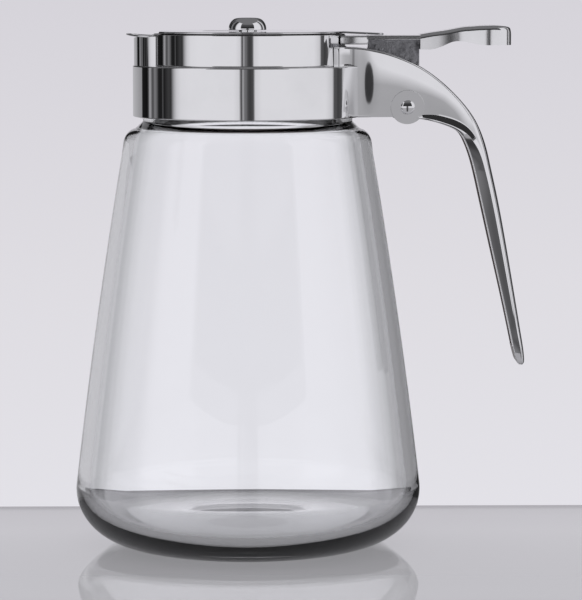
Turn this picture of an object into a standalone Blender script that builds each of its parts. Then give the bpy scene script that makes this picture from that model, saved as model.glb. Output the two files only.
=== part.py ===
"""Glass syrup dispenser: a clear jar under a chromed cap with a sliding gate.

The origin is the centre of the jar's flat foot, +Z is up, the pouring beak points to -X and the
handle to +X.  The jar, the cap with its handle, the guide button and the cross pin are one rigid
body.  The gate plate and the thumb lever slide back together along +X, away from the beak.
"""

import math

import bmesh
import bpy
from mathutils import Vector

MM = 0.001
TOUCH_GAP = 0.3 * MM
CUT_PAST = 2.0 * MM
CUT_WELL_PAST = 5.0 * MM

# Jar
JAR_SEGMENTS = 56
FOOT_RADIUS = 30.7 * MM
HEEL_CENTRE_Z = 14.2 * MM
HEEL_RADIUS_ACROSS = 15.5 * MM
HEEL_OVERSHOOT = math.radians(6)
WALL_TOP_RADIUS = 33.3 * MM
WALL_TOP_Z = 106.4 * MM
WALL_BULGE = 0.6 * MM
SHOULDER_RADIUS = 4.2 * MM
SHOULDER_START = math.radians(9)
SHOULDER_END = math.radians(76)
NECK_RADIUS = 27.8 * MM
NECK_BASE_Z = 112.3 * MM
NECK_TOP_Z = 124.6 * MM
NECK_BORE_RADIUS = 25.2 * MM
NECK_LIP_RADIUS = 1.2 * MM
THROAT_HEIGHT = 4.0 * MM
GLASS_AT_SHOULDER = 2.7 * MM
GLASS_AT_HEEL = 3.4 * MM
FLOOR_Z = 6.0 * MM
FLOOR_CORNER_RADIUS = 9.0 * MM

# Cap casting
CAP_SEGMENTS = 72
COLLAR_RADIUS = 30.4 * MM
COLLAR_BASE_Z = 113.7 * MM
STEP_Z = 127.2 * MM
TIER_RADIUS = 25.9 * MM
DECK_Z = 135.0 * MM
EDGE_ROUND = 0.4 * MM
COLLAR_BORE_RADIUS = NECK_RADIUS + 0.5 * MM
CHAMBER_RADIUS = 23.5 * MM
CHAMBER_TOP_Z = 133.0 * MM

# Beak and its openings
BEAK_RADIUS = 10.95 * MM
BEAK_CENTRE_X = -19.36 * MM
BEAK_ROOT_DEPTH = 0.5 * MM
BEAK_BELOW_DECK = 0.02 * MM
LIP_RADIUS = 9.0 * MM
LIP_TIP_X = -32.3 * MM
LIP_THICKNESS = 0.8 * MM
LIP_RISE = 0.3 * MM
LIP_ABOVE_DECK = 0.01 * MM
TROUGH_CENTRE = Vector((-24.5, 0.0, 135.6)) * MM
TROUGH_RADII = (7.2, 7.0, 1.9)
TROUGH_BACK_X = -23.6 * MM
POUR_HOLE_FRONT_X = -22.5 * MM
POUR_HOLE_BACK_X = -14.4 * MM
POUR_HOLE_HALF_WIDTH = 7.5 * MM

# Handle: for each station the lower point, the crown point, half the width and the crown's drop
HANDLE_STATIONS = (
    ((22.5, 113.7), (22.5, 132.4), 13.3, 0.6),
    ((24.5, 113.7), (24.5, 132.4), 10.3, 0.6),
    ((26.5, 113.7), (26.5, 132.3), 9.7, 0.6),
    ((28.5, 113.7), (28.5, 132.2), 9.6, 0.7),
    ((30.5, 113.7), (30.5, 132.0), 9.4, 0.7),
    ((33.0, 113.7), (33.0, 131.6), 9.1, 0.8),
    ((36.6, 113.7), (36.6, 130.8), 8.65, 0.9),
    ((40.6, 113.7), (40.6, 129.4), 8.15, 1.0),
    ((45.5, 113.1), (45.7, 127.0), 7.5, 1.2),
    ((48.6, 112.5), (49.8, 124.2), 7.1, 1.4),
    ((51.6, 111.6), (53.7, 120.8), 6.75, 1.6),
    ((54.2, 110.5), (57.3, 117.0), 6.45, 1.9),
    ((56.2, 109.0), (60.2, 113.0), 6.3, 2.1),
    ((57.4, 106.9), (62.2, 108.7), 6.15, 2.3),
    ((58.5, 104.2), (63.5, 104.7), 6.0, 2.5),
    ((59.5, 101.0), (64.5, 100.4), 5.9, 2.5),
    ((61.8, 92.0), (66.5, 91.6), 5.75, 2.1),
    ((64.6, 78.8), (69.0, 78.4), 5.5, 1.6),
    ((67.5, 66.2), (71.2, 65.8), 5.2, 1.2),
    ((69.3, 58.0), (72.6, 57.6), 5.0, 1.1),
    ((71.1, 49.9), (73.9, 49.5), 4.8, 1.0),
    ((71.6, 48.3), (73.9, 48.1), 4.4, 0.8),
    ((72.3, 47.5), (73.5, 47.5), 3.4, 0.4),
)
HANDLE_WALL = 1.6 * MM
CHANNEL_FRONT_STATION = ((31.4, 113.7), (31.4, 131.9), 9.3, 0.7)
CHANNEL_END_Z = 52.5 * MM
CHANNEL_RUN_OUT = 3.0 * MM
CROWN_STEPS = 6
CROWN_POWER = 0.7

# Cross pin and the ears that hold it
PIN_X = 42.0 * MM
PIN_Z = 116.3 * MM
EAR_RADIUS = 4.5 * MM
EAR_HALF_WIDTH = 8.05 * MM
EAR_THICKNESS = 2.2 * MM
PIN_RADIUS = 1.3 * MM
PIN_HEAD_RADIUS = 1.95 * MM
PIN_HEAD_HEIGHT = 0.9 * MM

# Sliding gate
GATE_TRAVEL = 9.0 * MM
PLATE_THICKNESS = 0.6 * MM
PLATE_Z = DECK_Z + TOUCH_GAP
PLATE_FRONT_X = -23.1 * MM
PLATE_TAIL_HALF_WIDTH = 5.5 * MM
PLATE_TAIL_END_X = 35.8 * MM
PLATE_TAIL_CORNER = 1.5 * MM

# Guide button
BUTTON_RADIUS = 5.0 * MM
BUTTON_TOP_Z = 139.7 * MM
BUTTON_FLAT_RADIUS = 2.4 * MM
BUTTON_STEM_RADIUS = 2.4 * MM
BUTTON_STEM_DEPTH = 1.0 * MM

# Thumb lever: its root block, arm, web and hollow pad
BLOCK_HALF_WIDTH = 10.0 * MM
BLOCK_BASE_Z = 132.75 * MM
BLOCK_START_X = 20.0 * MM
BLOCK_END_X = 31.5 * MM
ARM_END_X = 46.9 * MM
ARM_HALF_WIDTH = 5.5 * MM
ARM_THICKNESS = 1.1 * MM
WEB_HALF_WIDTH = 1.4 * MM
WEB_FRONT_X = 31.8 * MM
WEB_BACK_X = 45.4 * MM
WEB_BASE_Z = 119.5 * MM
SLOT_CLEARANCE = 0.35 * MM
PAD_WALL = 1.1 * MM
PAD_EDGE_ROUND = 0.8 * MM
# For each station of the pad: x, top, lower rim and half the width
PAD_STATIONS = (
    (45.4, 135.3, 131.4, 6.1),
    (48.8, 135.9, 131.4, 5.75),
    (51.2, 136.2, 132.2, 5.5),
    (54.0, 136.7, 133.4, 5.4),
    (56.7, 137.2, 133.5, 5.7),
    (58.6, 137.3, 133.1, 6.5),
    (60.6, 137.45, 132.7, 7.4),
    (62.9, 137.5, 132.5, 7.95),
    (65.1, 137.6, 132.5, 7.8),
    (67.2, 137.5, 132.5, 7.1),
    (68.8, 137.3, 132.5, 5.9),
    (69.6, 136.9, 132.5, 4.6),
    (70.0, 136.2, 132.5, 3.2),
)
PAD_HOLLOW_X = (48.8, 68.8)


def clear_scene():
    """Remove every object of the open file."""
    for item in list(bpy.data.objects):
        bpy.data.objects.remove(item, do_unlink=True)


def make_collection(name):
    """Return a new collection linked under the scene."""
    group = bpy.data.collections.new(name)
    bpy.context.scene.collection.children.link(group)
    return group


def make_material(name, colour, roughness, metallic=0.0, transmission=0.0):
    """Return a Principled material."""
    material = bpy.data.materials.new(name)
    material.use_nodes = True
    shader = material.node_tree.nodes["Principled BSDF"]
    shader.inputs["Base Color"].default_value = (*colour, 1.0)
    shader.inputs["Roughness"].default_value = roughness
    shader.inputs["Metallic"].default_value = metallic
    shader.inputs["Transmission Weight"].default_value = transmission
    return material


def add_object(name, mesh, group):
    """Return an object of the mesh, linked into the group."""
    item = bpy.data.objects.new(name, mesh)
    group.objects.link(item)
    return item


def hide_as_cutter(item):
    """Show a cutter as wire only."""
    item.hide_render = True
    item.display_type = "WIRE"


def add_bmesh(name, shape, group):
    """Turn a bmesh into an object with its normals outwards."""
    bmesh.ops.recalc_face_normals(shape, faces=shape.faces)
    mesh = bpy.data.meshes.new(name)
    shape.to_mesh(mesh)
    shape.free()
    return add_object(name, mesh, group)


def arc(centre, radii, start, end, steps):
    """Return points on an ellipse about centre, angles in radians from +X towards +Z."""
    angles = [start + (end - start) * i / steps for i in range(steps + 1)]
    return [(centre[0] + radii[0] * math.cos(a), centre[1] + radii[1] * math.sin(a)) for a in angles]


def add_turned(name, profile, segments, group):
    """Turn a profile of (radius, height) points about Z; it runs down its outer side."""
    mesh = bpy.data.meshes.new(name)
    points = [(radius, 0.0, height) for radius, height in profile]
    mesh.from_pydata(points, [(i, i + 1) for i in range(len(points) - 1)], [])
    item = add_object(name, mesh, group)
    screw = item.modifiers.new("Turn", "SCREW")
    screw.steps = segments
    screw.render_steps = segments
    screw.use_merge_vertices = True
    screw.merge_threshold = 0.00001
    screw.use_smooth_shade = True
    return item


def add_cylinder(name, radius, start, end, segments, group):
    """Add a capped cylinder between two points."""
    axis = end - start
    shape = bmesh.new()
    bmesh.ops.create_cone(
        shape, cap_ends=True, segments=segments, radius1=radius, radius2=radius, depth=axis.length
    )
    turn = axis.to_track_quat("Z", "Y").to_matrix().to_4x4()
    bmesh.ops.transform(shape, matrix=turn, verts=shape.verts)
    bmesh.ops.translate(shape, vec=(start + end) / 2, verts=shape.verts)
    return add_bmesh(name, shape, group)


def add_box(name, low, high, group):
    """Add a box between its lowest and highest corners."""
    low, high = Vector(low), Vector(high)
    shape = bmesh.new()
    bmesh.ops.create_cube(shape, size=1.0)
    bmesh.ops.scale(shape, vec=high - low, verts=shape.verts)
    bmesh.ops.translate(shape, vec=(low + high) / 2, verts=shape.verts)
    return add_bmesh(name, shape, group)


def add_loft(name, rings, group):
    """Join rings of equally many points into a closed solid."""
    shape = bmesh.new()
    loops = [[shape.verts.new(point) for point in ring] for ring in rings]
    count = len(loops[0])
    for near, far in zip(loops, loops[1:]):
        for i in range(count):
            j = (i + 1) % count
            shape.faces.new((near[i], near[j], far[j], far[i]))
    shape.faces.new(loops[0])
    shape.faces.new(loops[-1])
    bmesh.ops.triangulate(shape, faces=shape.faces)
    return add_bmesh(name, shape, group)


def add_boolean(item, group, operation):
    """Add an exact Boolean with every object of a collection."""
    boolean = item.modifiers.new(operation.title(), "BOOLEAN")
    boolean.operation = operation
    boolean.solver = "EXACT"
    boolean.operand_type = "COLLECTION"
    boolean.collection = group


def unite(item, additions):
    """Unite the additions with the item, apply the result and remove them."""
    add_boolean(item, additions, "UNION")
    bpy.context.view_layer.update()
    evaluated = item.evaluated_get(bpy.context.evaluated_depsgraph_get())
    mesh = bpy.data.meshes.new_from_object(evaluated)
    item.modifiers.clear()
    item.data = mesh
    for part in list(additions.objects):
        bpy.data.objects.remove(part, do_unlink=True)
    bpy.data.collections.remove(additions)


def finish(item, material):
    """Give an object its material and smooth shading with sharp edges kept."""
    item.data.materials.clear()
    item.data.materials.append(material)
    item.data.shade_smooth()
    item.data.set_sharp_from_angle(angle=math.radians(35))


def jar_wall_start():
    """Return the point where the heel's curve meets the tapered wall."""
    radius = FOOT_RADIUS + HEEL_RADIUS_ACROSS * math.cos(HEEL_OVERSHOOT)
    return radius, HEEL_CENTRE_Z * (1 + math.sin(HEEL_OVERSHOOT))


def jar_wall_radius(height):
    """Return the outer radius of the slightly barrelled wall at a height."""
    low_radius, low_z = jar_wall_start()
    t = (height - low_z) / (WALL_TOP_Z - low_z)
    return low_radius + (WALL_TOP_RADIUS - low_radius) * t + 4 * WALL_BULGE * t * (1 - t)


def glass_thickness(height):
    """Return the wall's thickness at a height, thicker towards the heel."""
    t = (height - HEEL_CENTRE_Z) / (WALL_TOP_Z - HEEL_CENTRE_Z)
    return GLASS_AT_HEEL + (GLASS_AT_SHOULDER - GLASS_AT_HEEL) * t


def jar_outside():
    """Return the jar's outer profile from the neck down to the foot."""
    shoulder_centre = (WALL_TOP_RADIUS - SHOULDER_RADIUS * math.cos(SHOULDER_START), WALL_TOP_Z)
    shoulder = arc(shoulder_centre, (SHOULDER_RADIUS, SHOULDER_RADIUS), SHOULDER_END, SHOULDER_START, 5)
    low_z = jar_wall_start()[1]
    steps = 6
    heights = [WALL_TOP_Z + (low_z - WALL_TOP_Z) * i / steps for i in range(1, steps)]
    wall = [(jar_wall_radius(z), z) for z in heights]
    heel_centre = (FOOT_RADIUS, HEEL_CENTRE_Z)
    heel = arc(heel_centre, (HEEL_RADIUS_ACROSS, HEEL_CENTRE_Z), HEEL_OVERSHOOT, -math.pi / 2, 8)
    return [(NECK_RADIUS, NECK_BASE_Z)] + shoulder + wall + heel + [(0.0, 0.0)]


def jar_inside():
    """Return the jar's inner profile from the floor's centre up to the neck's bore."""
    corner_top = FLOOR_Z + FLOOR_CORNER_RADIUS
    corner_radius = jar_wall_radius(corner_top) - glass_thickness(corner_top)
    corner_centre = (corner_radius - FLOOR_CORNER_RADIUS, corner_top)
    radii = (FLOOR_CORNER_RADIUS, FLOOR_CORNER_RADIUS)
    corner = arc(corner_centre, radii, -math.pi / 2, 0.0, 4)
    steps = 4
    heights = [corner_top + (WALL_TOP_Z - corner_top) * i / steps for i in range(1, steps + 1)]
    wall = [(jar_wall_radius(z) - glass_thickness(z), z) for z in heights]
    throat_radii = (wall[-1][0] - NECK_BORE_RADIUS, THROAT_HEIGHT)
    throat = arc((NECK_BORE_RADIUS, WALL_TOP_Z), throat_radii, 0.0, math.pi / 2, 3)
    return [(0.0, FLOOR_Z)] + corner + wall + throat[1:]


def build_jar(group, glass):
    """Build the glass jar: floor, tapered wall, rounded shoulder and open neck."""
    lip_centre_z = NECK_TOP_Z - NECK_LIP_RADIUS
    lip_centre_x = (NECK_RADIUS + NECK_BORE_RADIUS) / 2
    lip_across = (NECK_RADIUS - NECK_BORE_RADIUS) / 2
    lip = arc((lip_centre_x, lip_centre_z), (lip_across, NECK_LIP_RADIUS), math.pi, 0.0, 4)
    jar = add_turned("jar", jar_inside() + lip + jar_outside(), JAR_SEGMENTS, group)
    finish(jar, glass)


def collar_profile():
    """Return the outer profile of the two-tiered cap, filled to its axis."""
    round_radii = (EDGE_ROUND, EDGE_ROUND)
    collar_centre = COLLAR_RADIUS - EDGE_ROUND
    tier_edge = arc((TIER_RADIUS - EDGE_ROUND, DECK_Z - EDGE_ROUND), round_radii, math.pi / 2, 0.0, 3)
    step_edge = arc((collar_centre, STEP_Z - EDGE_ROUND), round_radii, math.pi / 2, 0.0, 3)
    base_edge = arc((collar_centre, COLLAR_BASE_Z + EDGE_ROUND), round_radii, 0.0, -math.pi / 2, 2)
    foot_of_tier = [(TIER_RADIUS, STEP_Z)]
    return [(0.0, DECK_Z)] + tier_edge + foot_of_tier + step_edge + base_edge + [(0.0, COLLAR_BASE_Z)]


def handle_ring(station, inset=0.0, depth=0.0):
    """Return one cross-section of the handle, or of its channel when inset by the wall.

    The section stands on the lower edge and rises to an arched crown.  An inset section is
    smaller by the wall and runs out below the lower edge by the given depth.
    """
    (low_x, low_z), (high_x, high_z), half_width, drop = station
    low = Vector((low_x, 0.0, low_z)) * MM
    high = Vector((high_x, 0.0, high_z)) * MM
    up = (high - low).normalized()
    height = (high - low).length - inset
    half_width = half_width * MM - inset
    drop = min(drop * MM, height * 0.9)
    side = Vector((0.0, 1.0, 0.0))
    ring = [low - up * depth + side * half_width]
    for i in range(CROWN_STEPS + 1):
        angle = math.pi * i / CROWN_STEPS
        rise = height - drop + drop * math.sin(angle) ** CROWN_POWER
        ring.append(low + up * rise + side * half_width * math.cos(angle))
    ring.append(low - up * depth - side * half_width)
    return ring


def channel_rings():
    """Return the sections of the handle's channel, from its front wall to near the tip."""
    start_x = CHANNEL_FRONT_STATION[0][0]
    stations = [CHANNEL_FRONT_STATION]
    for station in HANDLE_STATIONS:
        low_x, low_z = station[0]
        if low_x > start_x and low_z * MM > CHANNEL_END_Z:
            stations.append(station)
    return [handle_ring(station, HANDLE_WALL, CHANNEL_RUN_OUT) for station in stations]


def add_beak(group):
    """Add the beak's round wall and its thin pouring lip, which rises to its tip."""
    low = Vector((BEAK_CENTRE_X, 0.0, STEP_Z - BEAK_ROOT_DEPTH))
    high = Vector((BEAK_CENTRE_X, 0.0, DECK_Z - BEAK_BELOW_DECK))
    add_cylinder("beak", BEAK_RADIUS, low, high, 40, group)
    lip_x = LIP_TIP_X + LIP_RADIUS
    lip_top = DECK_Z + LIP_ABOVE_DECK
    low = Vector((lip_x, 0.0, lip_top - LIP_THICKNESS))
    high = Vector((lip_x, 0.0, lip_top))
    lip = add_cylinder("lip", LIP_RADIUS, low, high, 48, group)
    for vertex in lip.data.vertices:
        reach = (TROUGH_BACK_X - vertex.co.x) / (TROUGH_BACK_X - LIP_TIP_X)
        if reach > 0:
            vertex.co.z += LIP_RISE * reach * reach


def add_ears(group):
    """Add the two round ears that carry the cross pin."""
    for side in (-1, 1):
        inner = Vector((PIN_X, side * (EAR_HALF_WIDTH - EAR_THICKNESS), PIN_Z))
        outer = Vector((PIN_X, side * EAR_HALF_WIDTH, PIN_Z))
        add_cylinder(f"ear{side}", EAR_RADIUS, inner, outer, 32, group)


def add_cap_cutters(group):
    """Add every hollow of the cap as a cutter."""
    ledge_z = NECK_TOP_Z + TOUCH_GAP
    below = COLLAR_BASE_Z - CUT_WELL_PAST
    bore = [
        (0.0, CHAMBER_TOP_Z),
        (CHAMBER_RADIUS - MM, CHAMBER_TOP_Z),
        (CHAMBER_RADIUS, CHAMBER_TOP_Z - MM),
        (CHAMBER_RADIUS, ledge_z),
        (COLLAR_BORE_RADIUS, ledge_z),
        (COLLAR_BORE_RADIUS, below),
        (0.0, below),
    ]
    add_turned("bore_cutter", bore, CAP_SEGMENTS, group)
    add_loft("channel_cutter", channel_rings(), group)

    slot_base = WEB_BASE_Z - CUT_WELL_PAST
    slot_low = (WEB_FRONT_X - SLOT_CLEARANCE, -WEB_HALF_WIDTH - SLOT_CLEARANCE, slot_base)
    slot_end = WEB_BACK_X + GATE_TRAVEL + 2 * SLOT_CLEARANCE
    slot_high = (slot_end, WEB_HALF_WIDTH + SLOT_CLEARANCE, DECK_Z)
    add_box("slot_cutter", slot_low, slot_high, group)

    hole_low = (POUR_HOLE_FRONT_X, -POUR_HOLE_HALF_WIDTH, CHAMBER_TOP_Z - CUT_PAST)
    hole_high = (POUR_HOLE_BACK_X, POUR_HOLE_HALF_WIDTH, DECK_Z + CUT_PAST)
    add_box("pour_hole_cutter", hole_low, hole_high, group)
    add_trough_cutter(group)

    across = Vector((0.0, EAR_HALF_WIDTH + CUT_PAST, 0.0))
    centre = Vector((PIN_X, 0.0, PIN_Z))
    add_cylinder("pin_cutter", PIN_RADIUS + TOUCH_GAP, centre - across, centre + across, 24, group)

    pocket_floor = Vector((0.0, 0.0, DECK_Z - BUTTON_STEM_DEPTH - TOUCH_GAP))
    pocket_top = Vector((0.0, 0.0, DECK_Z + MM))
    add_cylinder("pocket_cutter", BUTTON_STEM_RADIUS + TOUCH_GAP, pocket_floor, pocket_top, 32, group)


def add_trough_cutter(group):
    """Add the spoon-shaped trough that leads from the sill to the lip."""
    shape = bmesh.new()
    bmesh.ops.create_uvsphere(shape, u_segments=32, v_segments=24, radius=MM)
    bmesh.ops.scale(shape, vec=TROUGH_RADII, verts=shape.verts)
    bmesh.ops.translate(shape, vec=TROUGH_CENTRE, verts=shape.verts)
    everything = shape.verts[:] + shape.edges[:] + shape.faces[:]
    plane = Vector((TROUGH_BACK_X, 0.0, 0.0))
    cut = bmesh.ops.bisect_plane(
        shape, geom=everything, plane_co=plane, plane_no=(1.0, 0.0, 0.0), clear_outer=True
    )
    rim = [item for item in cut["geom_cut"] if isinstance(item, bmesh.types.BMEdge)]
    bmesh.ops.edgeloop_fill(shape, edges=rim)
    add_bmesh("trough_cutter", shape, group)


def build_cap_body(group, chrome):
    """Build the cap casting: collar, deck, beak and channel handle in one piece."""
    cap = add_turned("cap_body", collar_profile(), CAP_SEGMENTS, group)
    additions = make_collection("cap_additions")
    add_beak(additions)
    add_loft("handle", [handle_ring(station) for station in HANDLE_STATIONS], additions)
    add_ears(additions)
    unite(cap, additions)

    cutters = make_collection("cap_cutters")
    add_cap_cutters(cutters)
    for cutter in cutters.objects:
        hide_as_cutter(cutter)
    add_boolean(cap, cutters, "DIFFERENCE")
    finish(cap, chrome)


def build_guide_button(group, chrome):
    """Build the domed button whose stem guides the gate plate."""
    head_base = PLATE_Z + PLATE_THICKNESS + TOUCH_GAP
    round_across = BUTTON_RADIUS - BUTTON_FLAT_RADIUS
    round_centre = (BUTTON_FLAT_RADIUS, BUTTON_TOP_Z - round_across)
    dome = arc(round_centre, (round_across, round_across), math.pi / 2, 0.0, 5)
    stem_base = DECK_Z - BUTTON_STEM_DEPTH
    foot = [
        (BUTTON_RADIUS, head_base),
        (BUTTON_STEM_RADIUS, head_base),
        (BUTTON_STEM_RADIUS, stem_base),
        (0.0, stem_base),
    ]
    button = add_turned("guide_button", [(0.0, BUTTON_TOP_Z)] + dome + foot, 32, group)
    finish(button, chrome)


def build_pivot_pin(group, chrome):
    """Build the cross pin with a domed head on each side of the handle."""
    head_base = EAR_HALF_WIDTH + TOUCH_GAP
    dome = arc((0.0, head_base), (PIN_HEAD_RADIUS, PIN_HEAD_HEIGHT), math.pi / 2, 0.0, 5)
    shank = [(PIN_RADIUS, head_base), (PIN_RADIUS, -head_base)]
    low_dome = arc((0.0, -head_base), (PIN_HEAD_RADIUS, PIN_HEAD_HEIGHT), 0.0, -math.pi / 2, 5)
    profile = [(0.0, head_base + PIN_HEAD_HEIGHT)] + dome[1:] + shank + low_dome[:-1]
    profile.append((0.0, -head_base - PIN_HEAD_HEIGHT))
    pin = add_turned("pivot_pin", profile, 24, group)
    pin.rotation_euler = (math.pi / 2, 0.0, 0.0)
    pin.location = (PIN_X, 0.0, PIN_Z)
    finish(pin, chrome)


def plate_outline():
    """Return the gate plate's outline: a disc with a straight front edge and a rear tail."""
    chord = math.acos(PLATE_FRONT_X / TIER_RADIUS)
    tail = math.asin(PLATE_TAIL_HALF_WIDTH / TIER_RADIUS)
    upper = arc((0.0, 0.0), (TIER_RADIUS, TIER_RADIUS), tail, chord, 30)
    lower = [(x, -y) for x, y in reversed(upper)]
    end_x, end_y = PLATE_TAIL_END_X, PLATE_TAIL_HALF_WIDTH
    corner_x, corner_y = end_x - PLATE_TAIL_CORNER, end_y - PLATE_TAIL_CORNER
    tail_end = [(corner_x, -end_y), (end_x, -corner_y), (end_x, corner_y), (corner_x, end_y)]
    return upper + lower + tail_end


def build_gate_plate(group, steel):
    """Build the thin gate plate, with the slot that rides on the button's stem."""
    curve = bpy.data.curves.new("gate_plate", "CURVE")
    curve.dimensions = "2D"
    curve.fill_mode = "BOTH"
    curve.extrude = PLATE_THICKNESS / 2
    slot_radius = BUTTON_STEM_RADIUS + TOUCH_GAP
    back = arc((0.0, 0.0), (slot_radius, slot_radius), -math.pi / 2, math.pi / 2, 8)
    front_x = -GATE_TRAVEL - TOUCH_GAP
    front = arc((front_x, 0.0), (slot_radius, slot_radius), math.pi / 2, 1.5 * math.pi, 8)
    for outline in (plate_outline(), back + front):
        spline = curve.splines.new("POLY")
        spline.points.add(len(outline) - 1)
        for point, (x, y) in zip(spline.points, outline):
            point.co = (x, y, 0.0, 1.0)
        spline.use_cyclic_u = True
    outline_object = bpy.data.objects.new("gate_plate_outline", curve)
    group.objects.link(outline_object)
    bpy.context.view_layer.update()
    evaluated = outline_object.evaluated_get(bpy.context.evaluated_depsgraph_get())
    mesh = bpy.data.meshes.new_from_object(evaluated)
    shape = bmesh.new()
    shape.from_mesh(mesh)
    bmesh.ops.remove_doubles(shape, verts=shape.verts, dist=0.00001)
    shape.to_mesh(mesh)
    shape.free()
    bpy.data.objects.remove(outline_object, do_unlink=True)
    plate = add_object("gate_plate", mesh, group)
    plate.location.z = PLATE_Z + PLATE_THICKNESS / 2
    finish(plate, steel)


def pad_ring(station, inset=0.0):
    """Return one cross-section of the thumb pad, or of its hollow when inset by the wall."""
    x, top, low, half_width = (value * MM for value in station)
    width = half_width - inset
    edge = min(PAD_EDGE_ROUND, width * 0.5)
    top -= inset
    low -= inset * 2
    half = arc((width - edge, top - edge), (edge, edge), 0.0, math.pi / 2, 3)
    side = [(width, low)] + half
    mirrored = [(-y, z) for y, z in reversed(side)]
    return [(x, y, z) for y, z in side + mirrored]


def build_thumb_lever(group, chrome):
    """Build the lever: root block, flat arm, the web in the handle's slot and the hollow pad."""
    arm_low = (BLOCK_END_X - MM, -ARM_HALF_WIDTH, DECK_Z - ARM_THICKNESS)
    arm_high = (ARM_END_X, ARM_HALF_WIDTH, DECK_Z)
    lever = add_box("thumb_lever", arm_low, arm_high, group)

    additions = make_collection("lever_additions")
    add_loft("pad", [pad_ring(station) for station in PAD_STATIONS], additions)
    web_low = (WEB_FRONT_X, -WEB_HALF_WIDTH, WEB_BASE_Z)
    web_high = (WEB_BACK_X, WEB_HALF_WIDTH, DECK_Z - ARM_THICKNESS / 2)
    add_box("web", web_low, web_high, additions)
    block_low = (BLOCK_START_X, -BLOCK_HALF_WIDTH, BLOCK_BASE_Z)
    block_high = (BLOCK_END_X, BLOCK_HALF_WIDTH, DECK_Z)
    add_box("block", block_low, block_high, additions)
    unite(lever, additions)

    cutters = make_collection("lever_cutters")
    front_x, back_x = PAD_HOLLOW_X
    inner = [station for station in PAD_STATIONS if front_x <= station[0] <= back_x]
    add_loft("pad_cutter", [pad_ring(station, PAD_WALL) for station in inner], cutters)
    low = Vector((0.0, 0.0, BLOCK_BASE_Z - MM))
    high = Vector((0.0, 0.0, DECK_Z + MM))
    add_cylinder("tier_cutter", TIER_RADIUS + TOUCH_GAP, low, high, CAP_SEGMENTS, cutters)
    for cutter in cutters.objects:
        hide_as_cutter(cutter)
    add_boolean(lever, cutters, "DIFFERENCE")
    finish(lever, chrome)


def main():
    """Build every piece of the dispenser."""
    clear_scene()
    dispenser = make_collection("syrup_dispenser")
    glass = make_material("clear_glass", (0.95, 0.97, 0.97), 0.02, transmission=1.0)
    chrome = make_material("chromed_casting", (0.82, 0.82, 0.84), 0.06, metallic=1.0)
    steel = make_material("polished_plate", (0.78, 0.78, 0.80), 0.12, metallic=1.0)
    build_jar(dispenser, glass)
    build_cap_body(dispenser, chrome)
    build_guide_button(dispenser, chrome)
    build_pivot_pin(dispenser, chrome)
    build_gate_plate(dispenser, steel)
    build_thumb_lever(dispenser, chrome)


main()
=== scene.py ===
"""Looks of a glass syrup dispenser: clear jar, chromed pouring cap, sliding gate and thumb lever.

Lengths are metres and the frame is the model's own: the jar stands on z = 0, the beak points to
-X and the handle to +X.  The jar, the cap, the guide button and the cross pin ride on the root
body, and the gate plate and the thumb lever ride on the gate, which slides back along +X.
"""

import logging
import math
from dataclasses import dataclass, field
from enum import Enum

import bmesh
import bpy
from mathutils import Matrix, Vector

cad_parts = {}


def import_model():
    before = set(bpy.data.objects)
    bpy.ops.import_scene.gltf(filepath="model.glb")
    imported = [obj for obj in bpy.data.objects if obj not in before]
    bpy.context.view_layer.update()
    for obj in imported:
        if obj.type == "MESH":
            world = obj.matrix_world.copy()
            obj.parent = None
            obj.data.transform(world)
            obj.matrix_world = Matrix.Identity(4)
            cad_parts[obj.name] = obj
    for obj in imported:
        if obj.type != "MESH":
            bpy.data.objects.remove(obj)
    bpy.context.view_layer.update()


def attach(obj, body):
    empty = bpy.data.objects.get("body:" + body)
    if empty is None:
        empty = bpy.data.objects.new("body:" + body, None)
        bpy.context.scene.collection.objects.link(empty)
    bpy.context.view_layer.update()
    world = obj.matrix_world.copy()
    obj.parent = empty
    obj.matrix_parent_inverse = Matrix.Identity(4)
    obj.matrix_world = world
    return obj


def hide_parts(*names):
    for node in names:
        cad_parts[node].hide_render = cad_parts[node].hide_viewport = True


LOG = logging.getLogger("dispenser")
MM = 0.001
WELD = 0.002 * MM
GUARD = 0.06 * MM
LONG_RUN = 1.2 * MM
SHARP_ANGLE = math.radians(32)
QUARTER = math.pi / 2

Pair = tuple[float, float]
Station = tuple[float, ...]


class Body(Enum):
    """The bodies that pieces ride on."""

    ROOT = "root"
    GATE = "gate"


class Slot(Enum):
    """The record's material slots."""

    GLASS = "clear_glass"
    CASTING = "chromed_casting"
    PLATE = "polished_plate"
    LEVER = "lever_metal"


class Join(Enum):
    """Ways of combining two solids."""

    ADD = "UNION"
    CUT = "DIFFERENCE"


def arc(centre: Pair, radii: Pair, start: float, end: float, steps: int) -> list[Pair]:
    """Return points along part of an ellipse.

    Args:
        centre: The ellipse's centre.
        radii: Its radii across and along.
        start: The first point's angle in radians.
        end: The last point's angle in radians.
        steps: The number of gaps between points.

    Returns:
        The points from start to end.
    """
    angles = [start + (end - start) * i / steps for i in range(steps + 1)]
    return [(centre[0] + radii[0] * math.cos(a), centre[1] + radii[1] * math.sin(a)) for a in angles]


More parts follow.
